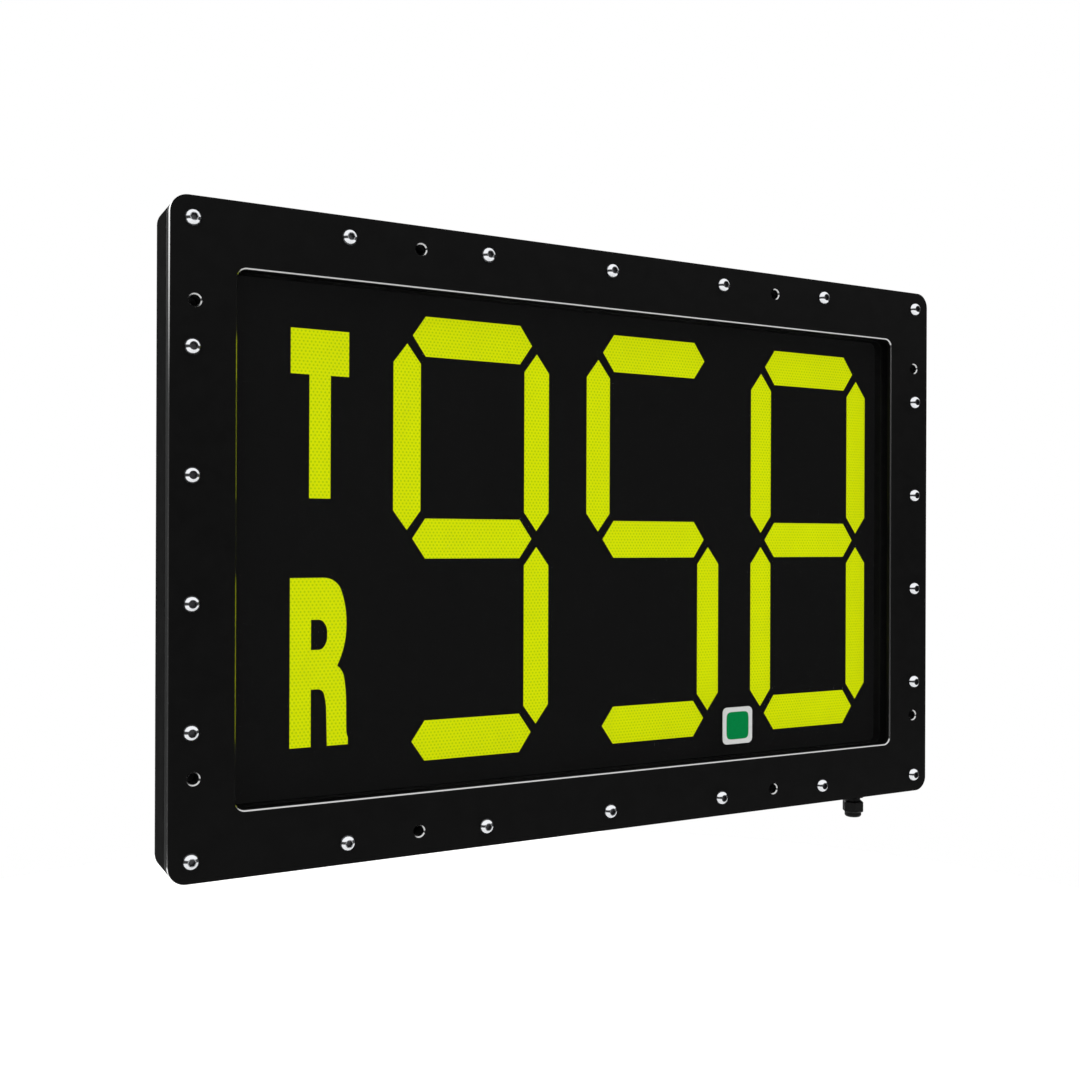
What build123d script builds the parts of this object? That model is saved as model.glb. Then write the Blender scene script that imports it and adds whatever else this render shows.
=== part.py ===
"""Illuminated vehicle call-sign board: a sealed flat box with a screwed front bezel, a clear window,
a back-lit display of two letters and three seven-bar digits, and a cable gland under its bottom edge.

Frame: +Z up, +X to the right of someone reading the board, front facing -Y. The origin is the centre of the
mounting holes on the rear face. Millimetres.
"""

from build123d import *
import math
import os

# Outline
board_width = 618.8
board_height = 413.9
board_corner = 11.0
view_width = 538.0
view_height = 332.0
view_corner = 6.0
edge_chamfer = 0.75

# Layers, from the rear face to the front face
back_plate_thick = 3.0
back_gasket_thick = 1.0
frame_depth = 23.0
window_gasket_thick = 1.5
window_thick = 7.0
bezel_thick = 4.0

# Levels are heights above the rear face, towards the reader
back_plate_front = back_plate_thick
frame_rear = back_plate_front + back_gasket_thick
frame_front = frame_rear + frame_depth
window_rear = frame_front + window_gasket_thick
window_front = window_rear + window_thick
bezel_front = window_front + bezel_thick

# Display stack, seated on a ledge inside the frame
display_recess = 18.0
mask_thick = 2.0
diffuser_thick = 3.0
tape_thick = 1.0
ledge_width = 8.0
panel_gap = 0.5
cavity_corner = 1.0
gasket_margin = 0.5
lens_gap = 0.1
mask_front = bezel_front - display_recess
diffuser_front = mask_front - mask_thick
tape_front = diffuser_front - diffuser_thick
ledge_level = tape_front - tape_thick
cavity_width = view_width - 2 * ledge_width
cavity_height = view_height - 2 * ledge_width
panel_width = view_width - 2 * panel_gap
panel_height = view_height - 2 * panel_gap

# Bezel screws, M6 x 30 button head
screw_pitch_x = 98.6
screw_pitch_z = 77.4
screw_column_x = 3 * screw_pitch_x
screw_row_z = 2.5 * screw_pitch_z
m6_radius = 2.95
m6_tapped_radius = 3.02
m6_clearance_radius = 3.3
m6_length = 30.0
m6_head_radius = 5.25
m6_head_height = 3.3
m6_head_rim = 0.5
m6_head_flat_radius = 2.6
m6_dome_radius = 4.3
m6_dome_height = 2.2
m6_point = 0.7
m6_socket = 4.0
m6_socket_depth = 2.0

# Mounting holes for M6 bolts
mount_radius = 3.5
row_mount_x = 1.5 * screw_pitch_x
row_mount_z = 191.5
side_mount_x = 294.5
side_mount_z = 144.0
plug_radius = 3.45
plug_length = 12.0
plug_wall = 1.2

# Back-plate screws, M4 x 12 countersunk
m4_radius = 1.95
m4_tapped_radius = 2.02
m4_clearance_radius = 2.3
m4_countersink_radius = 4.0
m4_screw_head_radius = 3.85
m4_length = 12.0
m4_socket = 2.5
m4_socket_depth = 1.4
m4_tapped_end = 13.0
m4_row_z = 176.0
m4_column_x = 279.0

# Display characters
display_z = 1.2
letter_x = -210.6
letter_width = 39.0
letter_height = 109.0
letter_offset_z = 80.2
letter_stem = 14.2
letter_bar_height = 29.2
letter_r_stem = 13.9
letter_r_bowl = 37.8
letter_r_inner = 24.9
digit_pitch = 149.6
middle_digit_x = 48.7
digit_height = 300.0
row_bar_length = 90.6
row_bar_height = 27.0
row_bar_tip = 9.4
column_bar_length = 125.0
column_bar_width = 19.6
column_bar_tip = 13.0
column_bar_x = 49.3
row_bar_z = (digit_height - row_bar_height) / 2
column_bar_z = row_bar_z / 2

# Backlight boards
pad_thick = 1.0
circuit_thick = 1.6
pad_inset = 3.0
digit_board_size = (120.0, 292.0)
letter_board_size = (50.0, 108.0)
driver_board_size = (50.0, 40.0)
circuit_rear = back_plate_front + pad_thick
circuit_front = circuit_rear + circuit_thick
led_size = 5.0
led_base_height = 1.0
led_dome_height = 0.6
led_dome_radius = 2.1
led_row_pitch = 16.0
led_column_pitch = 19.0
letter_led_pitch = 20.0
m3_radius = 1.45
m3_hole_radius = 1.7
m3_tapped_radius = 1.5
m3_length = 4.0
m3_tapped_depth = 1.8
m3_head_radius = 2.75
m3_head_height = 1.8
m3_socket = 2.0
m3_socket_depth = 1.0
board_screw_inset = 4.5
board_corner_radius = 2.0
link_width = 12.0
link_thick = 0.3
link_level = circuit_front + 1.2
link_z = display_z + 50.0
socket_inset = 1.0
socket_length = 4.0
socket_width = 15.0
socket_height = 2.4

# Parts on the driver board, with places from the board's centre
inductor_offset_x = -12.0
inductor_size = 12.0
inductor_corner = 1.5
inductor_height = 4.6
inductor_chamfer = 0.6
capacitor_offset = (1.0, 4.0)
capacitor_base_size = 8.4
capacitor_base_height = 0.8
capacitor_radius = 4.0
capacitor_can_height = 4.4
capacitor_fillet = 0.5
chip_offsets_and_sizes = [((1.0, -7.0), (6.0, 5.0)), ((9.0, -8.0), (4.0, 4.0)), ((9.0, 9.0), (4.0, 3.0))]
chip_height = 1.5
terminal_offset_x = 17.0
terminal_size = (8.0, 10.0)
terminal_height = 5.4
terminal_hole_radius = 1.6
terminal_hole_depth = 3.0
terminal_pitch = 5.0

# Cable gland, M12 x 1.5, tapped into the bottom of the frame
gland_x = 248.5
gland_level = 19.0
gland_across_flats = 15.0
gland_thread_radius = 5.95
gland_bore_radius = 6.0
gland_bore_depth = 11.5
gland_thread_length = 10.0
gland_washer_thick = 1.5
gland_washer_radius = 7.2
gland_flange_thick = 3.0
gland_flange_chamfer = 0.6
gland_neck_radius = 5.9
gland_neck_end = 13.4
gland_passage_radius = 3.75
gland_seat_radius = 4.9
gland_seat_depth = 6.4
nut_top = 7.25
nut_hex_end = 16.3
nut_end = 20.35
nut_thread_radius = 6.0
nut_nose_radius = 6.7
nut_exit_radius = 3.4
nut_shoulder = 15.6
nut_chamfer = 0.7
nut_nose_fillet = 1.8
claw_radius = 4.8
claw_wall = 0.9
claw_top = 7.6
claw_end = 15.5
claw_flange_radius = 5.8
claw_flange_top = 14.3
claw_slot_width = 0.8
claw_slot_length = 5.0
claw_slot_reach = 0.5
seal_inset = 0.3
seal_radius = 3.85
cable_radius = 2.75
pocket_width = 14.0
pocket_front = 24.5
pocket_channel_front = 9.5
pocket_wall = 2.0
pocket_overlap = 1.0

# Window label
label_size = 28.0
label_thick = 0.3
label_corner = 4.0
label_x = 116.0
label_z = -140.6

board_bottom = -board_height / 2


def front_plane(level):
    """Plane at a height above the rear face, facing the reader, with its x along X and its y along Z."""
    return Plane.XZ.offset(level)


def gland_plane(distance):
    """Plane across the gland's axis, at a distance below the board's bottom edge, facing down."""
    return Plane(
        origin=(gland_x, -gland_level, board_bottom - distance),
        x_dir=(1, 0, 0),
        z_dir=(0, 0, -1),
    )


screw_points = [(i * screw_pitch_x, side * screw_row_z) for side in (1, -1) for i in range(-3, 4)]
screw_points += [(side * screw_column_x, (j - 1.5) * screw_pitch_z) for side in (-1, 1) for j in range(4)]
row_mount_points = [(i * row_mount_x, j * row_mount_z) for i in (-1, 1) for j in (-1, 1)]
side_mount_points = [(i * side_mount_x, j * side_mount_z) for i in (-1, 1) for j in (-1, 1)]
mount_points = row_mount_points + side_mount_points
m4_points = [(i * screw_pitch_x, side * m4_row_z) for side in (1, -1) for i in range(-2, 3)]
m4_points += [(side * m4_column_x, j * screw_pitch_z) for side in (-1, 1) for j in (-1, 0, 1)]
m4_points += [(i * m4_column_x, j * m4_row_z) for i in (-1, 1) for j in (-1, 1)]


def board_rim(inner_width, inner_height, inner_corner, margin=0.0):
    """Rim between the board's outline, drawn in by a margin, and a rounded opening."""
    RectangleRounded(board_width - 2 * margin, board_height - 2 * margin, board_corner - margin)
    RectangleRounded(inner_width, inner_height, inner_corner, mode=Mode.SUBTRACT)


def punch(points, radius):
    """Round holes cut out of the sketch in hand."""
    with Locations(*points):
        Circle(radius, mode=Mode.SUBTRACT)


# ---------------------------------------------------------------- display characters


def letter_t(x, z):
    """Heavy condensed T: a deep bar over a narrow stem, centred on x, z."""
    with Locations((x, z + letter_height / 2 - letter_bar_height / 2)):
        Rectangle(letter_width, letter_bar_height)
    with Locations((x, z - letter_bar_height / 2)):
        Rectangle(letter_stem, letter_height - letter_bar_height)


def oval_corner(start, corner, end, first_radius):
    """Two arcs that meet smoothly, from start to end, touching the square corner's two lines. The first arc's
    radius is given, and the second's follows from it."""
    across = Vector(*corner) - Vector(*start)
    along = Vector(*end) - Vector(*corner)
    width, height = across.length, along.length
    second_radius = (width**2 + height**2 - 2 * height * first_radius) / (2 * (width - first_radius))
    first_centre = Vector(*start) + along.normalized() * first_radius
    second_centre = Vector(*end) - across.normalized() * second_radius
    outward = (first_centre - second_centre).normalized()
    meeting = first_centre + outward * first_radius
    first_middle = first_centre + (outward - along.normalized()).normalized() * first_radius
    second_middle = second_centre + (outward + across.normalized()).normalized() * second_radius
    ThreePointArc(start, first_middle, meeting)
    ThreePointArc(meeting, second_middle, end)


def letter_r(x, z):
    """Heavy condensed R, centred on x, z: a tall bowl, a curved leg and a small flare at the foot."""
    left = x - letter_width / 2
    foot = z - letter_height / 2

    def at(across, up):
        """A point given from the letter's lower left corner."""
        return (left + across, foot + up)

    bowl_top = at(letter_r_bowl, 80.0)
    bowl_low = at(letter_r_bowl, 78.0)
    notch = at(31.6, 51.8)
    leg_turn = at(36.4, 43.5)
    leg_straight = at(37.75, 27.0)
    with BuildLine() as outline:
        Line(at(0, 0), at(0, letter_height))
        Line(at(0, letter_height), at(22.5, letter_height))
        oval_corner(at(22.5, letter_height), at(letter_r_bowl, letter_height), bowl_top, 12.4)
        Line(bowl_top, bowl_low)
        ThreePointArc(bowl_low, at(36.22, 64.5), notch)
        ThreePointArc(notch, at(34.76, 48.1), leg_turn)
        ThreePointArc(leg_turn, at(37.41, 35.25), leg_straight)
        Polyline(leg_straight, at(37.9, 9.0), at(38.3, 6.4), at(letter_width, 4.8), at(letter_width, 0))
        Polyline(at(letter_width, 0), at(letter_r_inner, 0), at(24.4, 22.0))
        oval_corner(at(18.6, 37.0), at(24.4, 37.0), at(24.4, 22.0), 4.4)
        Polyline(at(18.6, 37.0), at(letter_r_stem, 37.0), at(letter_r_stem, 0), at(0, 0))
    make_face(outline.edges())
    with BuildLine() as counter:
        Polyline(at(19.0, 62.4), at(letter_r_stem, 62.4), at(letter_r_stem, 82.0), at(19.0, 82.0))
        oval_corner(at(19.0, 82.0), at(letter_r_inner, 82.0), at(letter_r_inner, 73.8), 4.5)
        Line(at(letter_r_inner, 73.8), at(letter_r_inner, 70.6))
        oval_corner(at(19.0, 62.4), at(letter_r_inner, 62.4), at(letter_r_inner, 70.6), 4.5)
    make_face(counter.edges(), mode=Mode.SUBTRACT)


def row_bar(x, z):
    """Horizontal bar of a digit, with pointed ends."""
    half = row_bar_length / 2
    shoulder = half - row_bar_tip
    rise = row_bar_height / 2
    top = [(half, 0), (shoulder, rise), (-shoulder, rise)]
    bottom = [(-half, 0), (-shoulder, -rise), (shoulder, -rise)]
    with Locations((x, z)):
        Polygon(*top, *bottom, align=None)


def column_bar(x, z):
    """Vertical bar of a digit, with pointed ends."""
    half = column_bar_length / 2
    shoulder = half - column_bar_tip
    reach = column_bar_width / 2
    right = [(0, half), (reach, shoulder), (reach, -shoulder)]
    left = [(0, -half), (-reach, -shoulder), (-reach, shoulder)]
    with Locations((x, z)):
        Polygon(*right, *left, align=None)


def digit_bars(x, bars):
    """Bars of one digit. They are named as on any seven-bar display: a top, b and c right, d bottom, e and f
    left, g middle."""
    rows = {"a": row_bar_z, "g": 0.0, "d": -row_bar_z}
    columns = {"b": (1, 1), "c": (1, -1), "e": (-1, -1), "f": (-1, 1)}
    for bar in bars:
        if bar in rows:
            row_bar(x, display_z + rows[bar])
        else:
            side, half = columns[bar]
            column_bar(x + side * column_bar_x, display_z + half * column_bar_z)


digit_centres = {
    "left_digit": middle_digit_x - digit_pitch,
    "middle_digit": middle_digit_x,
    "right_digit": middle_digit_x + digit_pitch,
}
lit_bars = {"left_digit": "abcdfg", "middle_digit": "acdfg", "right_digit": "abcdefg"}

with BuildPart() as letter_t_lens:
    with BuildSketch(front_plane(diffuser_front)):
        letter_t(letter_x, display_z + letter_offset_z)
    extrude(amount=mask_thick)
letter_t_lens.part.label = "letter_t_lens"

with BuildPart() as letter_r_lens:
    with BuildSketch(front_plane(diffuser_front)):
        letter_r(letter_x, display_z - letter_offset_z)
    extrude(amount=mask_thick)
letter_r_lens.part.label = "letter_r_lens"

digit_lenses = []
for digit, centre in digit_centres.items():
    with BuildPart() as lens:
        with BuildSketch(front_plane(diffuser_front)):
            digit_bars(centre, lit_bars[digit])
        extrude(amount=mask_thick)
    lens.part.label = f"{digit}_lens"
    digit_lenses.append(lens.part)

# The mask's windows are the lenses' outlines, a little larger.
with BuildPart() as display_mask:
    with BuildSketch(front_plane(diffuser_front)):
        RectangleRounded(panel_width, panel_height, view_corner - panel_gap)
    extrude(amount=mask_thick)
    with BuildSketch(front_plane(diffuser_front)):
        letter_t(letter_x, display_z + letter_offset_z)
        letter_r(letter_x, display_z - letter_offset_z)
        for digit, centre in digit_centres.items():
            digit_bars(centre, lit_bars[digit])
        offset(amount=lens_gap, kind=Kind.INTERSECTION)
    extrude(amount=mask_thick, mode=Mode.SUBTRACT)
display_mask.part.label = "display_mask"

with BuildPart() as diffuser_panel:
    with BuildSketch(front_plane(tape_front)):
        RectangleRounded(panel_width, panel_height, view_corner - panel_gap)
    extrude(amount=diffuser_thick)
diffuser_panel.part.label = "diffuser_panel"

with BuildPart() as panel_tape:
    with BuildSketch(front_plane(ledge_level)):
        RectangleRounded(panel_width, panel_height, view_corner - panel_gap)
        Rectangle(cavity_width, cavity_height, mode=Mode.SUBTRACT)
    extrude(amount=tape_thick)
panel_tape.part.label = "panel_tape"

# ---------------------------------------------------------------- enclosure

with BuildPart() as front_bezel:
    with BuildSketch(front_plane(window_front)):
        board_rim(view_width, view_height, view_corner)
        punch(screw_points, m6_clearance_radius)
        punch(mount_points, mount_radius)
    extrude(amount=bezel_thick)
    front_wires = front_bezel.faces().sort_by(Axis.Y)[0].wires().sort_by(SortBy.LENGTH)
    mount_hole_length = 2 * math.pi * mount_radius
    chamfered_wires = [wire for wire in front_wires[:-1] if wire.length > mount_hole_length - 0.5]
    chamfer([edge for wire in chamfered_wires for edge in wire.edges()], length=edge_chamfer)
front_bezel.part.label = "front_bezel"

with BuildPart() as window_sheet:
    with BuildSketch(front_plane(window_rear)):
        RectangleRounded(board_width, board_height, board_corner)
        punch(screw_points, m6_clearance_radius)
        punch(mount_points, mount_radius)
    extrude(amount=window_thick)
window_sheet.part.label = "window_sheet"

with BuildPart() as window_gasket:
    with BuildSketch(front_plane(frame_front)):
        board_rim(view_width, view_height, view_corner, margin=gasket_margin)
        punch(screw_points, m6_clearance_radius)
        punch(mount_points, mount_radius)
    extrude(amount=window_gasket_thick)
window_gasket.part.label = "window_gasket"

with BuildPart() as housing_frame:
    with BuildSketch(front_plane(frame_rear)):
        board_rim(cavity_width, cavity_height, cavity_corner)
        punch(screw_points, m6_tapped_radius)
        punch(mount_points, mount_radius)
    extrude(amount=frame_depth)
    # recess for the display stack, down to its ledge
    with BuildSketch(front_plane(ledge_level)):
        RectangleRounded(view_width, view_height, view_corner)
    extrude(amount=frame_front - ledge_level, mode=Mode.SUBTRACT)
    # blind tapped holes for the back-plate screws
    with BuildSketch(front_plane(frame_rear)):
        with Locations(*m4_points):
            Circle(m4_tapped_radius)
    extrude(amount=m4_tapped_end - frame_rear, mode=Mode.SUBTRACT)
    # cable way: a tapped bore up from the bottom edge, a pocket, and a shallow channel under the ledge
    with BuildSketch(gland_plane(-gland_bore_depth)):
        Circle(gland_bore_radius)
    extrude(amount=gland_bore_depth, mode=Mode.SUBTRACT)
    pocket_low = board_bottom + gland_bore_depth
    pocket_high = -view_height / 2 - pocket_wall
    with BuildSketch(front_plane(frame_rear)):
        with Locations((gland_x, (pocket_low + pocket_high) / 2)):
            Rectangle(pocket_width, pocket_high - pocket_low)
    extrude(amount=pocket_front - frame_rear, mode=Mode.SUBTRACT)
    channel_low = pocket_high - pocket_overlap
    channel_high = -cavity_height / 2 + pocket_overlap
    with BuildSketch(front_plane(frame_rear)):
        with Locations((gland_x, (channel_low + channel_high) / 2)):
            Rectangle(pocket_width, channel_high - channel_low)
    extrude(amount=pocket_channel_front - frame_rear, mode=Mode.SUBTRACT)
housing_frame.part.label = "housing_frame"

with BuildPart() as back_gasket:
    with BuildSketch(front_plane(back_plate_front)):
        board_rim(cavity_width, cavity_height, cavity_corner, margin=gasket_margin)
        punch(m4_points, m4_clearance_radius)
        punch(mount_points, mount_radius)
    extrude(amount=back_gasket_thick)
back_gasket.part.label = "back_gasket"

# ---------------------------------------------------------------- circuit boards

letter_t_z = display_z + letter_offset_z
letter_r_z = display_z - letter_offset_z
boards = {
    "letter_t": (letter_x, letter_t_z, letter_board_size),
    "letter_r": (letter_x, letter_r_z, letter_board_size),
    "left_digit": (digit_centres["left_digit"], display_z, digit_board_size),
    "middle_digit": (digit_centres["middle_digit"], display_z, digit_board_size),
    "right_digit": (digit_centres["right_digit"], display_z, digit_board_size),
    "driver": (letter_x, display_z, driver_board_size),
}


def board_screw_points(name):
    """Screw places of a board: its corners, and the middle of each long side on the tall boards."""
    x, z, (width, height) = boards[name]
    reach_x = width / 2 - board_screw_inset
    reach_z = height / 2 - board_screw_inset
    rows = (-1, 0, 1) if height > 200 else (-1, 1)
    return [(x + i * reach_x, z + j * reach_z) for i in (-1, 1) for j in rows]


circuit_screw_points = [point for name in boards for point in board_screw_points(name)]


def led_points(name):
    """Places of a board's LEDs: along each bar of a digit, or in two columns behind a letter."""
    x, z, _ = boards[name]
    if "digit" not in name:
        side = letter_led_pitch / 2
        return [(x + i * side, z + j * letter_led_pitch) for i in (-1, 1) for j in range(-2, 3)]
    rows = [(x + i * led_row_pitch, z + j * row_bar_z) for j in (-1, 0, 1) for i in range(-2, 3)]
    columns = []
    for side in (-1, 1):
        for half in (-1, 1):
            middle = z + half * column_bar_z
            columns += [(x + side * column_bar_x, middle + (k - 2.5) * led_column_pitch) for k in range(6)]
    return rows + columns


circuits = []
for name, (x, z, (width, height)) in boards.items():
    with BuildPart() as circuit:
        with BuildSketch(front_plane(circuit_rear)):
            with Locations((x, z)):
                RectangleRounded(width, height, board_corner_radius)
            punch(board_screw_points(name), m3_hole_radius)
        extrude(amount=circuit_thick)
    circuit.part.label = f"{name}_circuit"
    circuits.append(circuit.part)

led_groups = []
for name in boards:
    if name == "driver":
        continue
    with BuildPart() as leds:
        with BuildSketch(front_plane(circuit_front)):
            with Locations(*led_points(name)):
                Rectangle(led_size, led_size)
        extrude(amount=led_base_height)
        with BuildSketch(front_plane(circuit_front + led_base_height)):
            with Locations(*led_points(name)):
                Circle(led_dome_radius)
        extrude(amount=led_dome_height, taper=20)
    leds.part.label = f"{name}_leds"
    led_groups.append(leds.part)

with BuildPart() as circuit_pads:
    with BuildSketch(front_plane(back_plate_front)):
        for x, z, (width, height) in boards.values():
            with Locations((x, z)):
                Rectangle(width - 2 * pad_inset, height - 2 * pad_inset)
        punch(circuit_screw_points, m3_head_radius)
    extrude(amount=pad_thick)
circuit_pads.part.label = "circuit_pads"

# Ribbons join neighbouring boards, socket to socket: across between the digits' and the upper letter's
# boards, and up and down from the driver.
across = [("letter_t", "left_digit"), ("left_digit", "middle_digit"), ("middle_digit", "right_digit")]
upright = [("driver", "letter_t"), ("letter_r", "driver")]
socket_ends = []
ribbon_spans = []
for left, right in across:
    left_edge = boards[left][0] + boards[left][2][0] / 2 - socket_inset
    right_edge = boards[right][0] - boards[right][2][0] / 2 + socket_inset
    socket_ends.append((left_edge - socket_length / 2, link_z, 0))
    socket_ends.append((right_edge + socket_length / 2, link_z, 0))
    ribbon_spans.append(((left_edge + right_edge) / 2, link_z, right_edge - left_edge, link_width))
for low, high in upright:
    low_edge = boards[low][1] + boards[low][2][1] / 2 - socket_inset
    high_edge = boards[high][1] - boards[high][2][1] / 2 + socket_inset
    socket_ends.append((letter_x, low_edge - socket_length / 2, 90))
    socket_ends.append((letter_x, high_edge + socket_length / 2, 90))
    ribbon_spans.append((letter_x, (low_edge + high_edge) / 2, link_width, high_edge - low_edge))

with BuildPart() as link_sockets:
    with BuildSketch(front_plane(circuit_front)):
        for x, z, turn in socket_ends:
            with Locations(Location((x, z, 0), (0, 0, turn))):
                Rectangle(socket_length, socket_width)
    extrude(amount=socket_height)
link_sockets.part.label = "link_sockets"

with BuildPart() as link_ribbons:
    with BuildSketch(front_plane(link_level)):
        for x, z, span_x, span_z in ribbon_spans:
            with Locations((x, z)):
                Rectangle(span_x, span_z)
    extrude(amount=link_thick)
link_ribbons.part.label = "link_ribbons"

with BuildPart() as driver_inductor:
    with BuildSketch(front_plane(circuit_front)):
        with Locations((letter_x + inductor_offset_x, display_z)):
            RectangleRounded(inductor_size, inductor_size, inductor_corner)
    extrude(amount=inductor_height)
    chamfer(driver_inductor.faces().sort_by(Axis.Y)[0].edges(), length=inductor_chamfer)
driver_inductor.part.label = "driver_inductor"

capacitor_place = (letter_x + capacitor_offset[0], display_z + capacitor_offset[1])
with BuildPart() as driver_capacitor:
    with BuildSketch(front_plane(circuit_front)):
        with Locations(capacitor_place):
            Rectangle(capacitor_base_size, capacitor_base_size)
    extrude(amount=capacitor_base_height)
    with BuildSketch(front_plane(circuit_front + capacitor_base_height)):
        with Locations(capacitor_place):
            Circle(capacitor_radius)
    extrude(amount=capacitor_can_height)
    fillet(driver_capacitor.faces().sort_by(Axis.Y)[0].edges(), radius=capacitor_fillet)
driver_capacitor.part.label = "driver_capacitor"

with BuildPart() as driver_chips:
    with BuildSketch(front_plane(circuit_front)):
        for (across, up), (width, height) in chip_offsets_and_sizes:
            with Locations((letter_x + across, display_z + up)):
                Rectangle(width, height)
    extrude(amount=chip_height)
driver_chips.part.label = "driver_chips"

terminal_x = letter_x + terminal_offset_x
terminal_holes = [(terminal_x, display_z + side * terminal_pitch / 2) for side in (-1, 1)]
with BuildPart() as power_terminal:
    with BuildSketch(front_plane(circuit_front)):
        with Locations((terminal_x, display_z)):
            Rectangle(*terminal_size)
    extrude(amount=terminal_height)
    with BuildSketch(front_plane(circuit_front + terminal_height)):
        with Locations(*terminal_holes):
            Circle(terminal_hole_radius)
    extrude(amount=-terminal_hole_depth, mode=Mode.SUBTRACT)
power_terminal.part.label = "power_terminal"

with BuildPart() as back_plate:
    with BuildSketch(front_plane(0)):
        RectangleRounded(board_width, board_height, board_corner)
        punch(m4_points, m4_clearance_radius)
        punch(mount_points, mount_radius)
    extrude(amount=back_plate_thick)
    with BuildSketch(front_plane(back_plate_front)):
        with Locations(*circuit_screw_points):
            Circle(m3_tapped_radius)
    extrude(amount=-m3_tapped_depth, mode=Mode.SUBTRACT)
    # countersinks for the M4 heads, open to the rear
    with BuildSketch(front_plane(0)):
        with Locations(*m4_points):
            Circle(m4_countersink_radius)
    extrude(amount=m4_countersink_radius - m4_clearance_radius, taper=45, mode=Mode.SUBTRACT)
back_plate.part.label = "back_plate"

# ---------------------------------------------------------------- fasteners and plugs


def turned(profile):
    """Solid turned about Y from (radius, level) points."""
    with BuildSketch(Plane.XY) as section:
        Polygon(*[(radius, -level) for radius, level in profile], align=None)
    revolve(section.sketch, axis=Axis.Y)


with BuildPart() as one_bezel_screw:
    head_top = bezel_front + m6_head_height
    tip = bezel_front - m6_length
    with BuildSketch(Plane.XY):
        with BuildLine():
            Line((0, -tip), (m6_radius - m6_point, -tip))
            Line((m6_radius - m6_point, -tip), (m6_radius, -tip - m6_point))
            Line((m6_radius, -tip - m6_point), (m6_radius, -bezel_front))
            Line((m6_radius, -bezel_front), (m6_head_radius, -bezel_front))
            Line((m6_head_radius, -bezel_front), (m6_head_radius, -bezel_front - m6_head_rim))
            ThreePointArc(
                (m6_head_radius, -bezel_front - m6_head_rim),
                (m6_dome_radius, -bezel_front - m6_dome_height),
                (m6_head_flat_radius, -head_top),
            )
            Line((m6_head_flat_radius, -head_top), (0, -head_top))
            Line((0, -head_top), (0, -tip))
        make_face()
    revolve(axis=Axis.Y)
    with BuildSketch(front_plane(head_top)):
        RegularPolygon(m6_socket / 2, 6, major_radius=False)
    extrude(amount=-m6_socket_depth, mode=Mode.SUBTRACT)

with BuildPart() as bezel_screws:
    with Locations(*[(x, 0, z) for x, z in screw_points]):
        add(one_bezel_screw.part)
bezel_screws.part.label = "bezel_screws"

with BuildPart() as one_back_screw:
    cone = m4_screw_head_radius - m4_radius
    turned([(0, 0), (m4_screw_head_radius, 0), (m4_radius, cone), (m4_radius, m4_length), (0, m4_length)])
    with BuildSketch(front_plane(0)):
        RegularPolygon(m4_socket / 2, 6, major_radius=False)
    extrude(amount=m4_socket_depth, mode=Mode.SUBTRACT)

with BuildPart() as back_plate_screws:
    with Locations(*[(x, 0, z) for x, z in m4_points]):
        add(one_back_screw.part)
back_plate_screws.part.label = "back_plate_screws"

with BuildPart() as one_circuit_screw:
    seat = circuit_front
    turned(
        [
            (0, seat - m3_length),
            (m3_radius, seat - m3_length),
            (m3_radius, seat),
            (m3_head_radius, seat),
            (m3_head_radius, seat + m3_head_height * 0.6),
            (m3_head_radius * 0.7, seat + m3_head_height),
            (0, seat + m3_head_height),
        ]
    )
    with BuildSketch(front_plane(seat + m3_head_height)):
        RegularPolygon(m3_socket / 2, 6, major_radius=False)
    extrude(amount=-m3_socket_depth, mode=Mode.SUBTRACT)

with BuildPart() as circuit_screws:
    with Locations(*[(x, 0, z) for x, z in circuit_screw_points]):
        add(one_circuit_screw.part)
circuit_screws.part.label = "circuit_screws"

with BuildPart() as one_plug:
    plug_rear = frame_front - plug_length
    turned(
        [
            (0, frame_front),
            (plug_radius, frame_front),
            (plug_radius, plug_rear),
            (plug_radius - plug_wall, plug_rear),
            (plug_radius - plug_wall, frame_front - plug_wall),
            (0, frame_front - plug_wall),
        ]
    )

with BuildPart() as mount_plugs:
    with Locations(*[(x, 0, z) for x, z in side_mount_points]):
        add(one_plug.part)
mount_plugs.part.label = "mount_plugs"

# ---------------------------------------------------------------- cable gland


def gland_turning(profile):
    """Solid turned about the gland's axis from (radius, distance below the board's edge) points."""
    profile_plane = Plane(origin=(gland_x, -gland_level, board_bottom), x_dir=(1, 0, 0), z_dir=(0, -1, 0))
    with BuildSketch(profile_plane) as section:
        Polygon(*[(radius, -distance) for radius, distance in profile], align=None)
    revolve(section.sketch, axis=Axis((gland_x, -gland_level, 0), (0, 0, 1)))


def gland_cut(distance, radius, depth):
    """Round bore down the gland's axis from a distance below the board's edge."""
    with BuildSketch(gland_plane(distance)) as section:
        Circle(radius)
    extrude(section.sketch, amount=depth, mode=Mode.SUBTRACT)


gland_flange_end = gland_washer_thick + gland_flange_thick

with BuildPart() as gland_washer:
    with BuildSketch(gland_plane(0)):
        Circle(gland_washer_radius)
        Circle(gland_bore_radius, mode=Mode.SUBTRACT)
    extrude(amount=gland_washer_thick)
gland_washer.part.label = "gland_washer"

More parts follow.
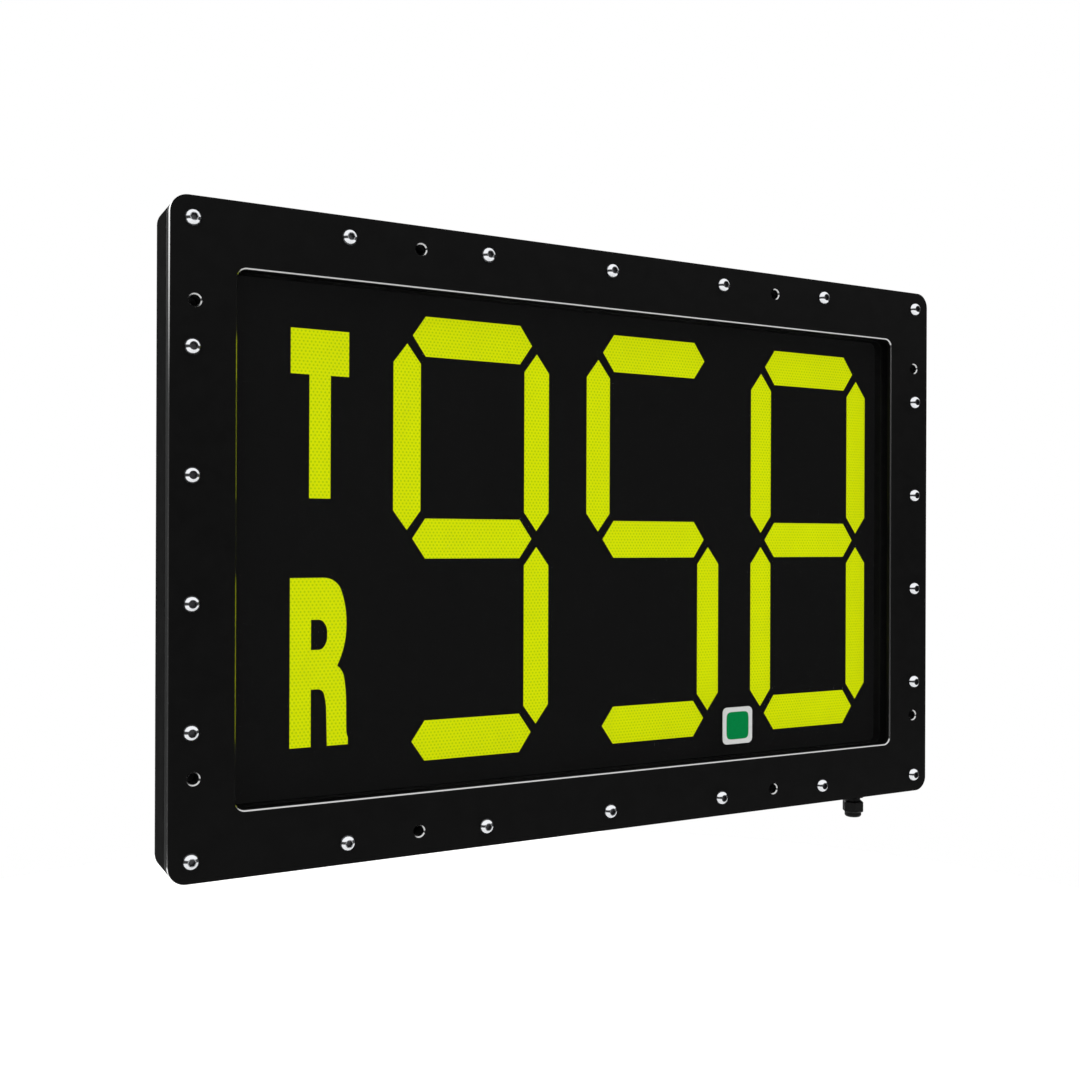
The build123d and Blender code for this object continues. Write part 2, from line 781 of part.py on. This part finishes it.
with BuildPart() as gland_body:
    with BuildSketch(gland_plane(gland_washer_thick)):
        RegularPolygon(gland_across_flats / 2, 6, major_radius=False)
    extrude(amount=gland_flange_thick)
    chamfer(gland_body.faces().sort_by(Axis.Z)[0].edges(), length=gland_flange_chamfer)
    with BuildSketch(gland_plane(-gland_thread_length)):
        Circle(gland_thread_radius)
    extrude(amount=gland_thread_length + gland_washer_thick)
    with BuildSketch(gland_plane(gland_flange_end)):
        Circle(gland_neck_radius)
    extrude(amount=gland_neck_end - gland_flange_end)
    gland_cut(-gland_thread_length, gland_passage_radius, gland_thread_length + gland_neck_end)
    gland_cut(gland_neck_end - gland_seat_depth, gland_seat_radius, gland_seat_depth)
gland_body.part.label = "gland_body"

with BuildPart() as gland_claw:
    inner = claw_radius - claw_wall
    gland_turning(
        [
            (inner, claw_top),
            (claw_radius, claw_top),
            (claw_radius, claw_flange_top),
            (claw_flange_radius, claw_flange_top),
            (claw_flange_radius, claw_end),
            (inner, claw_end),
        ]
    )
    with BuildSketch(gland_plane(claw_top)):
        for turn in (0, 60, 120):
            with Locations(Location((0, 0, 0), (0, 0, turn))):
                Rectangle(2 * (claw_radius + claw_slot_reach), claw_slot_width)
    extrude(amount=claw_slot_length, mode=Mode.SUBTRACT)
gland_claw.part.label = "gland_claw"

with BuildPart() as gland_seal:
    with BuildSketch(gland_plane(claw_top + seal_inset)):
        Circle(seal_radius)
        Circle(cable_radius, mode=Mode.SUBTRACT)
    extrude(amount=claw_end - claw_top - 2 * seal_inset)
gland_seal.part.label = "gland_seal"

with BuildPart() as gland_dome_nut:
    with BuildSketch(gland_plane(nut_top)):
        RegularPolygon(gland_across_flats / 2, 6, major_radius=False)
    extrude(amount=nut_hex_end - nut_top)
    nut_ends = gland_dome_nut.faces().sort_by(Axis.Z)
    chamfer(nut_ends[0].edges() + nut_ends[-1].edges(), length=nut_chamfer)
    with BuildSketch(gland_plane(nut_hex_end)):
        Circle(nut_nose_radius)
    extrude(amount=nut_end - nut_hex_end)
    fillet(gland_dome_nut.faces().sort_by(Axis.Z)[0].edges(), radius=nut_nose_fillet)
    gland_cut(nut_top, nut_thread_radius, nut_shoulder - nut_top)
    gland_cut(nut_shoulder, nut_exit_radius, nut_end - nut_shoulder)
gland_dome_nut.part.label = "gland_dome_nut"

# ---------------------------------------------------------------- label

with BuildPart() as window_label:
    with BuildSketch(front_plane(window_front)):
        with Locations((label_x, label_z)):
            RectangleRounded(label_size, label_size, label_corner)
    extrude(amount=label_thick)
window_label.part.label = "window_label"

# ---------------------------------------------------------------- files

enclosure = [front_bezel, bezel_screws, window_label, window_sheet, window_gasket, housing_frame, back_gasket]
enclosure += [back_plate, back_plate_screws, mount_plugs]
display = [display_mask, letter_t_lens, letter_r_lens, diffuser_panel, panel_tape]
electronics = [circuit_pads, circuit_screws, link_sockets, link_ribbons, driver_inductor, driver_capacitor]
electronics += [driver_chips, power_terminal]
gland = [gland_washer, gland_body, gland_claw, gland_seal, gland_dome_nut]
pieces = [builder.part for builder in enclosure + display + electronics + gland]
pieces += digit_lenses + circuits + led_groups

os.makedirs("parts", exist_ok=True)
for piece in pieces:
    export_step(piece, f"parts/{piece.label}.step")
print(len(pieces), "pieces written")
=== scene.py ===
"""Studio scene for the illuminated call-sign board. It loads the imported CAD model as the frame, gives
every node a procedural material and adds a floor, studio light and a camera at the reader's left."""

import math

import bmesh
import bpy
from mathutils import Matrix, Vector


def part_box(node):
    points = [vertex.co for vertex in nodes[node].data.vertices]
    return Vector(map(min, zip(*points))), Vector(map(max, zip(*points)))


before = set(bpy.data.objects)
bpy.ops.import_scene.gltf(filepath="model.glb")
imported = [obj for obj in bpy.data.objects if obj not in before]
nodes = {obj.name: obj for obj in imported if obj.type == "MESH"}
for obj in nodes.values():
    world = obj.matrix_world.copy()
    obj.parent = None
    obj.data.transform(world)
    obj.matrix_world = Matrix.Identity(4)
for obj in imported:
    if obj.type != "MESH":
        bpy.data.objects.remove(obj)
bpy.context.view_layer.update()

MM = 0.001
scene = bpy.context.scene

# ---------------------------------------------------------------- places read from the frame

bezel_low, bezel_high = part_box("front_bezel")
front_y = bezel_low.y
label_low, label_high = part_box("window_label")
_, mask_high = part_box("display_mask")
board_centre_z = (bezel_low.z + bezel_high.z) / 2
board_half_height = (bezel_high.z - bezel_low.z) / 2

# ---------------------------------------------------------------- material helpers


class Surface:
    """A Principled material, with short calls for the procedural detail that the surfaces share."""

    def __init__(self, name, colour, roughness, metallic=0.0, specular=0.5):
        self.material = bpy.data.materials.new(name)
        self.material.use_nodes = True
        self.tree = self.material.node_tree
        self.shader = self.tree.nodes["Principled BSDF"]
        self.set("Base Color", (*colour, 1.0))
        self.set("Roughness", roughness)
        self.set("Metallic", metallic)
        self.set("Specular IOR Level", specular)

    def set(self, socket, value):
        self.shader.inputs[socket].default_value = value
        return self

    def node(self, kind, **values):
        made = self.tree.nodes.new(kind)
        for key, value in values.items():
            setattr(made, key, value)
        return made

    def link(self, source, target):
        self.tree.links.new(source, target)

    def math(self, operation, first, second=None):
        """A Math node on sockets or numbers, and its result."""
        made = self.node("ShaderNodeMath", operation=operation)
        for index, value in enumerate((first, second)):
            if value is None:
                continue
            if isinstance(value, (int, float)):
                made.inputs[index].default_value = value
            else:
                self.link(value, made.inputs[index])
        return made.outputs[0]

    def split(self, vector):
        """The x, y and z sockets of a vector socket."""
        parts = self.node("ShaderNodeSeparateXYZ")
        self.link(vector, parts.inputs[0])
        return parts.outputs

    def place(self):
        """Object-space coordinates, in metres, as separate x, y and z sockets."""
        return self.split(self.node("ShaderNodeTexCoord").outputs["Object"])

    def facing(self):
        """How squarely a face looks to the front or the rear: 1 for the flat faces, 0 for the cut edges."""
        normal = self.node("ShaderNodeNewGeometry").outputs["True Normal"]
        return self.math("ABSOLUTE", self.split(normal)["Y"])

    def noise(self, scale, stretch=(1, 1, 1)):
        mapping = self.node("ShaderNodeMapping")
        mapping.inputs["Scale"].default_value = stretch
        self.link(self.node("ShaderNodeTexCoord").outputs["Object"], mapping.inputs["Vector"])
        made = self.node("ShaderNodeTexNoise")
        made.inputs["Scale"].default_value = scale
        made.inputs["Detail"].default_value = 2.0
        self.link(mapping.outputs[0], made.inputs["Vector"])
        return made.outputs["Fac"]

    def between(self, factor, low, high, low_at=0.0, high_at=1.0):
        """A number that runs from low to high as factor runs from low_at to high_at."""
        made = self.node("ShaderNodeMapRange")
        self.link(factor, made.inputs["Value"])
        for socket, value in zip(("From Min", "From Max", "To Min", "To Max"), (low_at, high_at, low, high)):
            made.inputs[socket].default_value = value
        return made.outputs["Result"]

    def mix(self, factor, first, second):
        """A colour that runs from first to second with factor."""
        made = self.node("ShaderNodeMix", data_type="RGBA")
        self.link(factor, made.inputs["Factor"])
        made.inputs["A"].default_value = (*first, 1.0)
        made.inputs["B"].default_value = (*second, 1.0)
        return made.outputs["Result"]

    def choose(self, factor, first, second, target):
        """Sets the target socket's colour to first where factor is 0 and to second where it is 1."""
        made = self.node("ShaderNodeMix", data_type="RGBA")
        self.link(factor, made.inputs["Factor"])
        self.link(first, made.inputs["A"])
        self.link(second, made.inputs["B"])
        self.link(made.outputs["Result"], self.shader.inputs[target])

    def bump(self, height, distance):
        made = self.node("ShaderNodeBump")
        made.inputs["Strength"].default_value = 1.0
        made.inputs["Distance"].default_value = distance
        self.link(height, made.inputs["Height"])
        self.link(made.outputs["Normal"], self.shader.inputs["Normal"])
        return self

    def vary_roughness(self, low, high, scale, stretch=(1, 1, 1)):
        gloss = self.between(self.noise(scale, stretch=stretch), low, high, 0.3, 0.7)
        self.link(gloss, self.shader.inputs["Roughness"])
        return self

    def vary_colour(self, first, second, scale, stretch=(1, 1, 1)):
        factor = self.between(self.noise(scale, stretch=stretch), 0.0, 1.0, 0.35, 0.65)
        self.link(self.mix(factor, first, second), self.shader.inputs["Base Color"])
        return self


def moulded(name, colour, roughness=0.5, grain=900, depth=0.02 * MM, specular=0.5):
    """Moulded plastic or rubber: slight colour drift, a fine grain and uneven gloss."""
    darker = tuple(0.85 * c for c in colour)
    surface = Surface(name, colour, roughness, specular=specular)
    surface.vary_colour(darker, colour, grain * 0.2)
    surface.vary_roughness(roughness - 0.06, roughness + 0.06, grain * 0.5)
    return surface.bump(surface.noise(grain), depth).material


def metal(name, colour, roughness, stretch=(1, 1, 1), scale=700):
    """Bare metal with a fine directional finish."""
    surface = Surface(name, colour, roughness, metallic=1.0)
    surface.vary_roughness(roughness * 0.8, roughness * 1.25, scale, stretch)
    return surface.bump(surface.noise(scale, stretch=stretch), 0.004 * MM).material


def anodised_frame(name, colour, recess):
    """Black anodised metal, matt outside. Inside recess, half its width and height, it is painted near black
    as shade.
    """
    surface = Surface(name, colour, 0.45, specular=0.0)
    place = surface.place()
    in_width = surface.math("LESS_THAN", surface.math("ABSOLUTE", place["X"]), recess[0])
    in_height = surface.math("LESS_THAN", surface.math("ABSOLUTE", place["Z"]), recess[1])
    inside = surface.math("MULTIPLY", in_width, in_height)
    cloud = surface.between(surface.noise(90), 0.0, 1.0, 0.35, 0.65)
    outside = surface.mix(cloud, colour, tuple(1.15 * c for c in colour))
    # Painted shade: within the recess the walls get a near-black colour for the shade that falls there.
    recess_shade = surface.mix(cloud, (0.005, 0.005, 0.005), (0.006, 0.006, 0.006))
    surface.choose(inside, outside, recess_shade, "Base Color")
    return surface.vary_roughness(0.4, 0.5, 160).bump(surface.noise(2600), 0.003 * MM).material


def anodised_bezel(name, colour, roughness, outer):
    """Black anodised sheet. The chamfers and the outer cut edges were made after anodising, so they show bare
    metal. outer is half the sheet's width and height."""
    surface = Surface(name, colour, roughness, specular=0.04)
    lighter = tuple(1.15 * c for c in colour)
    face = surface.mix(surface.between(surface.noise(90), 0.0, 1.0, 0.35, 0.65), colour, lighter)
    surface.bump(surface.noise(2600), 0.003 * MM)
    share = surface.facing()
    place = surface.place()
    corner = 11.2 * MM
    beyond_x = surface.math("GREATER_THAN", surface.math("ABSOLUTE", place["X"]), outer[0] - corner)
    beyond_z = surface.math("GREATER_THAN", surface.math("ABSOLUTE", place["Z"]), outer[1] - corner)
    edge_face = surface.math("MULTIPLY", surface.math("MAXIMUM", beyond_x, beyond_z),
                             surface.math("LESS_THAN", share, 0.3))
    tilted = surface.math("MULTIPLY", surface.math("GREATER_THAN", share, 0.3),
                          surface.math("LESS_THAN", share, 0.9))
    bare = surface.math("MAXIMUM", tilted, edge_face)
    scratches = surface.noise(1500, stretch=(1, 6, 1))
    scratched = surface.mix(scratches, (0.38, 0.38, 0.38), (0.46, 0.46, 0.46))
    surface.choose(bare, face, scratched, "Base Color")
    surface.link(bare, surface.shader.inputs["Metallic"])
    uneven = surface.between(surface.noise(160), roughness - 0.05, roughness + 0.05, 0.3, 0.7)
    gloss = surface.node("ShaderNodeMix", data_type="FLOAT")
    surface.link(bare, gloss.inputs["Factor"])
    surface.link(uneven, gloss.inputs["A"])
    gloss.inputs["B"].default_value = 0.18
    surface.link(gloss.outputs["Result"], surface.shader.inputs["Roughness"])
    return surface.material


def printed_label(low, high):
    """White printed vinyl with a plain green field, rounded at its corners, inside a white border."""
    surface = Surface("label_print", (0.6, 0.61, 0.6), 0.35, specular=0.05)
    place = surface.place()
    reach = (high.x - low.x) / 2 - 3.5 * MM

    def offset(socket, centre):
        """Distance from the centre line, 1 at the field's edge, raised so the corners come out round."""
        away = surface.math("DIVIDE", surface.math("SUBTRACT", socket, centre), reach)
        return surface.math("POWER", surface.math("ABSOLUTE", away), 6.0)

    across = offset(place["X"], (low.x + high.x) / 2)
    total = surface.math("ADD", across, offset(place["Z"], (low.z + high.z) / 2))
    field = surface.between(total, 1.0, 0.0, 0.95, 1.05)
    paper = surface.between(surface.noise(500), 0.0, 1.0, 0.3, 0.7)
    white = surface.mix(paper, (0.58, 0.59, 0.58), (0.62, 0.63, 0.62))
    green = surface.mix(paper, (0.0, 0.18, 0.044), (0.0, 0.2, 0.05))
    surface.choose(field, white, green, "Base Color")
    return surface.bump(surface.noise(900), 0.01 * MM).material


def clear_sheet(low, high):
    """Clear polycarbonate, faintly hazed, with frosted grey saw-cut edges and drilled holes, and a frosted
    band 3 mm wide round the rim, under the bezel."""
    surface = Surface("window_clear", (0.02, 0.02, 0.02), 0.08, specular=0.03)
    surface.set("IOR", 1.58)
    place = surface.place()
    corner = 11 * MM
    rim_width = 3 * MM

    def past_corner(socket, first, last):
        """How far a place lies beyond the centre of the nearest rounded corner, along one direction."""
        away = surface.math("ABSOLUTE", surface.math("SUBTRACT", socket, (first + last) / 2))
        return surface.math("MAXIMUM", surface.math("SUBTRACT", away, (last - first) / 2 - corner), 0.0)

    across = past_corner(place["X"], low.x, high.x)
    up = past_corner(place["Z"], low.z, high.z)
    square = surface.math("ADD", surface.math("MULTIPLY", across, across), surface.math("MULTIPLY", up, up))
    rim = surface.math("GREATER_THAN", surface.math("SQRT", square), corner - rim_width)
    sawn_face = surface.math("LESS_THAN", surface.facing(), 0.5)
    cut = surface.math("MAXIMUM", rim, sawn_face)
    haze = surface.between(surface.noise(40), 0.02, 0.035, 0.3, 0.7)
    surface.link(surface.math("MAXIMUM", cut, haze), surface.shader.inputs["Alpha"])
    sawn = surface.noise(350, stretch=(1, 5, 1))
    surface.link(surface.mix(sawn, (0.022, 0.0224, 0.0224), (0.03, 0.0306, 0.0306)),
                 surface.shader.inputs["Base Color"])
    surface.link(surface.between(cut, 0.08, 0.6), surface.shader.inputs["Roughness"])
    return surface.material


def reflective_lime():
    """Yellow-green reflective sheet, lit from behind, with staggered rows of fine darker dots."""
    surface = Surface("reflective_lime", (0.24, 0.28, 0.0008), 0.5, specular=0.0)
    place = surface.place()
    row_pitch = 2.15 * MM
    dot_pitch = 2.64 * MM
    rows = surface.math("DIVIDE", place["Z"], row_pitch)
    odd = surface.math("PINGPONG", surface.math("FLOOR", rows), 1.0)
    shift = surface.math("MULTIPLY", odd, 0.5)
    columns = surface.math("ADD", surface.math("DIVIDE", place["X"], dot_pitch), shift)

    def from_dot(steps, pitch):
        """Distance from the middle of the nearest dot along one direction, in millimetres."""
        away = surface.math("SUBTRACT", surface.math("FRACT", steps), 0.5)
        return surface.math("MULTIPLY", away, pitch / MM)

    across = from_dot(columns, dot_pitch)
    along = from_dot(rows, row_pitch)
    across_squared = surface.math("MULTIPLY", across, across)
    square = surface.math("ADD", across_squared, surface.math("MULTIPLY", along, along))
    dot = surface.between(surface.math("SQRT", square), 1.0, 0.0, 0.45, 0.8)
    surface.link(surface.mix(dot, (0.25, 0.29, 0.0008), (0.15, 0.23, 0.0008)),
                 surface.shader.inputs["Base Color"])
    surface.link(surface.mix(dot, (0.445, 0.5, 0.0008), (0.28, 0.4, 0.0008)),
                 surface.shader.inputs["Emission Color"])
    surface.set("Emission Strength", 1.0)
    return surface.bump(surface.math("SUBTRACT", 1.0, dot), 0.05 * MM).material


def display_black():
    """Matt black mask with a faint even glow painted on it, which lifts the black evenly in the recess."""
    surface = Surface("mask_black", (0.0016, 0.0016, 0.0016), 0.6, specular=0.0)
    grain = surface.between(surface.noise(1500), 0.0, 1.0, 0.3, 0.7)
    surface.link(surface.mix(grain, (0.0014, 0.0014, 0.0014), (0.0018, 0.0018, 0.0018)),
                 surface.shader.inputs["Base Color"])
    # Painted light: this emission is a faint even glow that stands in for the fill light the recess shades
    # off the mask.
    surface.link(surface.mix(grain, (0.0036, 0.0036, 0.0036), (0.0042, 0.0042, 0.0042)),
                 surface.shader.inputs["Emission Color"])
    surface.set("Emission Strength", 1.0)
    return surface.bump(surface.noise(1500), 0.003 * MM).material


def screw_steel(head_top, face):
    """Bright steel button heads. Inside the socket the steel is painted dark as shade, and it is rougher."""
    surface = Surface("bright_steel", (0.57, 0.58, 0.6), 0.12, metallic=1.0)
    share = surface.facing()
    place = surface.place()
    wall = surface.math("MULTIPLY", surface.math("LESS_THAN", share, 0.3),
                        surface.math("LESS_THAN", place["Y"], face - 1.0 * MM))
    floor = surface.math("MULTIPLY", surface.math("GREATER_THAN", share, 0.97),
                         surface.math("GREATER_THAN", place["Y"], head_top + 0.5 * MM))
    socket = surface.math("MAXIMUM", wall, floor)
    brushed = surface.noise(900, stretch=(1, 4, 1))
    polished = surface.mix(brushed, (0.55, 0.56, 0.58), (0.6, 0.61, 0.63))
    # Painted shade: the socket's walls and floor get a dark colour for the shade inside the hollow.
    socket_shade = surface.mix(brushed, (0.06, 0.06, 0.065), (0.1, 0.1, 0.105))
    surface.choose(socket, polished, socket_shade, "Base Color")
    surface.link(surface.between(socket, 0.1, 0.4), surface.shader.inputs["Roughness"])
    return surface.bump(surface.noise(900), 0.002 * MM).material


# ---------------------------------------------------------------- materials of the CAD nodes

BLACK = (0.0038, 0.0038, 0.0038)
FRAME_BLACK = (0.0155, 0.0155, 0.0155)
PLATE_BLACK = (0.02, 0.02, 0.02)
lime = reflective_lime()
rubber = moulded("gasket_rubber", (0.006, 0.006, 0.006), 0.7, specular=0.03)
nylon = moulded("gland_nylon", (0.003, 0.003, 0.003), 0.32, grain=700, specular=0.14)
bright = metal("circuit_screw_steel", (0.57, 0.58, 0.6), 0.15)
black_steel = moulded("black_steel", (0.02, 0.02, 0.021), 0.35)
plug_grey = moulded("plug_grey", (0.05, 0.05, 0.052), 0.6)
opal = moulded("opal_acrylic", (0.8, 0.8, 0.78), 0.3)
tape = moulded("foam_tape", (0.22, 0.22, 0.22), 0.8)
pad = moulded("thermal_pad", (0.3, 0.35, 0.42), 0.7)
ivory = moulded("socket_ivory", (0.66, 0.62, 0.5), 0.35)
ribbon = moulded("ribbon_white", (0.75, 0.75, 0.75), 0.3)
ferrite = moulded("ferrite", (0.05, 0.05, 0.055), 0.7)
can = metal("capacitor_metal", (0.7, 0.71, 0.73), 0.3)
chip = moulded("chip_black", (0.018, 0.018, 0.018), 0.45)
terminal = moulded("terminal_green", (0.03, 0.22, 0.08), 0.4)
circuit = moulded("circuit_board", (0.74, 0.76, 0.75), 0.3)
led = moulded("led_package", (0.85, 0.8, 0.5), 0.3)

surfaces = {
    "front_bezel": anodised_bezel("bezel_black", BLACK, 0.42, (bezel_high.x, board_half_height)),
    # The frame's walls inside the display recess carry painted shade.
    "housing_frame": anodised_frame("frame_black", FRAME_BLACK, (mask_high.x + MM, mask_high.z + MM)),
    "back_plate": anodised_frame("plate_black", PLATE_BLACK, (0, 0)),
    "display_mask": display_black(),
    "window_gasket": rubber,
    "back_gasket": rubber,
    "gland_washer": rubber,
    "gland_seal": rubber,
    "gland_body": nylon,
    "gland_claw": nylon,
    "gland_dome_nut": nylon,
    "bezel_screws": screw_steel(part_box("bezel_screws")[0].y, front_y),
    "circuit_screws": bright,
    "back_plate_screws": black_steel,
    "mount_plugs": plug_grey,
    "diffuser_panel": opal,
    "panel_tape": tape,
    "circuit_pads": pad,
    "link_sockets": ivory,
    "link_ribbons": ribbon,
    "driver_inductor": ferrite,
    "driver_capacitor": can,
    "driver_chips": chip,
    "power_terminal": terminal,
    "window_label": printed_label(label_low, label_high),
    "window_sheet": clear_sheet(*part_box("window_sheet")),
}
for name, obj in nodes.items():
    if name.endswith("_lens"):
        surfaces[name] = lime
    elif name.endswith("_circuit"):
        surfaces[name] = circuit
    elif name.endswith("_leds"):
        surfaces[name] = led
    if name in surfaces:
        for slot in obj.material_slots:
            slot.material = surfaces[name]

# ---------------------------------------------------------------- floor, light and camera


def add_floor():
    mesh = bpy.data.meshes.new("floor")
    bm = bmesh.new()
    bmesh.ops.create_circle(bm, cap_ends=True, segments=96, radius=1.1)
    bm.to_mesh(mesh)
    bm.free()
    floor = bpy.data.objects.new("floor", mesh)
    floor.location = (0, 0.1, -0.5)  # well below the gland and a little behind the board
    surface = Surface("floor_white", (0.9, 0.9, 0.9), 0.8, specular=0.1)
    surface.vary_colour((0.88, 0.88, 0.88), (0.92, 0.92, 0.92), 4)
    surface.set("Emission Color", (1.0, 1.0, 1.0, 1.0))
    surface.set("Emission Strength", 0.25)
    mesh.materials.append(surface.material)
    scene.collection.objects.link(floor)


def add_world():
    """A studio with a white ceiling and a white floor, dark between them, and plain white where the camera
    looks past the object."""
    world = bpy.data.worlds.new("studio")
    scene.world = world
    world.use_nodes = True
    tree = world.node_tree
    tree.nodes.clear()

    def math(operation, first, second):
        made = tree.nodes.new("ShaderNodeMath")
        made.operation = operation
        for index, value in enumerate((first, second)):
            if isinstance(value, (int, float)):
                made.inputs[index].default_value = value
            else:
                tree.links.new(value, made.inputs[index])
        return made.outputs[0]

    def ramp(value, low, high):
        """0 below low, 1 above high, and smooth between them."""
        made = tree.nodes.new("ShaderNodeMapRange")
        made.interpolation_type = "SMOOTHSTEP"
        tree.links.new(value, made.inputs["Value"])
        made.inputs["From Min"].default_value = low
        made.inputs["From Max"].default_value = high
        return made.outputs["Result"]

    place = tree.nodes.new("ShaderNodeTexCoord")
    parts = tree.nodes.new("ShaderNodeSeparateXYZ")
    tree.links.new(place.outputs["Generated"], parts.inputs[0])
    behind = parts.outputs["Y"]
    height = parts.outputs["Z"]
    front = math("SUBTRACT", 1.0, ramp(behind, -0.1, 0.2))
    depth = math("MULTIPLY", height, -1.0)
    sky = math("MULTIPLY", ramp(height, 0.18, 0.36), front)
    ground = math("MULTIPLY", ramp(depth, 0.18, 0.36), front)
    overhead = ramp(height, 0.5, 0.8)
    high_back = math("MULTIPLY", ramp(behind, 0.6, 0.95), ramp(height, 0.1, 0.35))
    high_back = math("MULTIPLY", high_back, 1.8)
    light = math("MAXIMUM", math("MAXIMUM", sky, ground), math("MAXIMUM", overhead, high_back))
    light = math("ADD", light, 0.05)

    output = tree.nodes.new("ShaderNodeOutputWorld")
    lit = tree.nodes.new("ShaderNodeBackground")
    seen = tree.nodes.new("ShaderNodeBackground")
    choice = tree.nodes.new("ShaderNodeMixShader")
    path = tree.nodes.new("ShaderNodeLightPath")
    tree.links.new(math("MULTIPLY", light, 1.85), lit.inputs["Strength"])
    seen.inputs["Color"].default_value = (1, 1, 1, 1)
    tree.links.new(path.outputs["Is Camera Ray"], choice.inputs["Fac"])
    tree.links.new(lit.outputs[0], choice.inputs[1])
    tree.links.new(seen.outputs[0], choice.inputs[2])
    tree.links.new(choice.outputs[0], output.inputs["Surface"])


def add_camera():
    """Level view from the reader's left, nearly 0.9 m away."""
    data = bpy.data.cameras.new("camera")
    data.sensor_width = 36.0
    data.lens = 40.394
    camera = bpy.data.objects.new("camera", data)
    heading = math.radians(28.41)
    roll = math.radians(0.21)
    to_the_left = 0.45816
    in_front = 0.73915
    above_centre = 0.00052
    place = Matrix.Translation((-to_the_left, front_y - in_front, board_centre_z + above_centre))
    level = Matrix.Rotation(-heading, 4, "Z") @ Matrix.Rotation(math.pi / 2, 4, "X")
    camera.matrix_world = place @ level @ Matrix.Rotation(roll, 4, "Z")
    scene.collection.objects.link(camera)
    scene.camera = camera


add_floor()
add_world()
add_camera()
scene.view_settings.view_transform = "Standard"
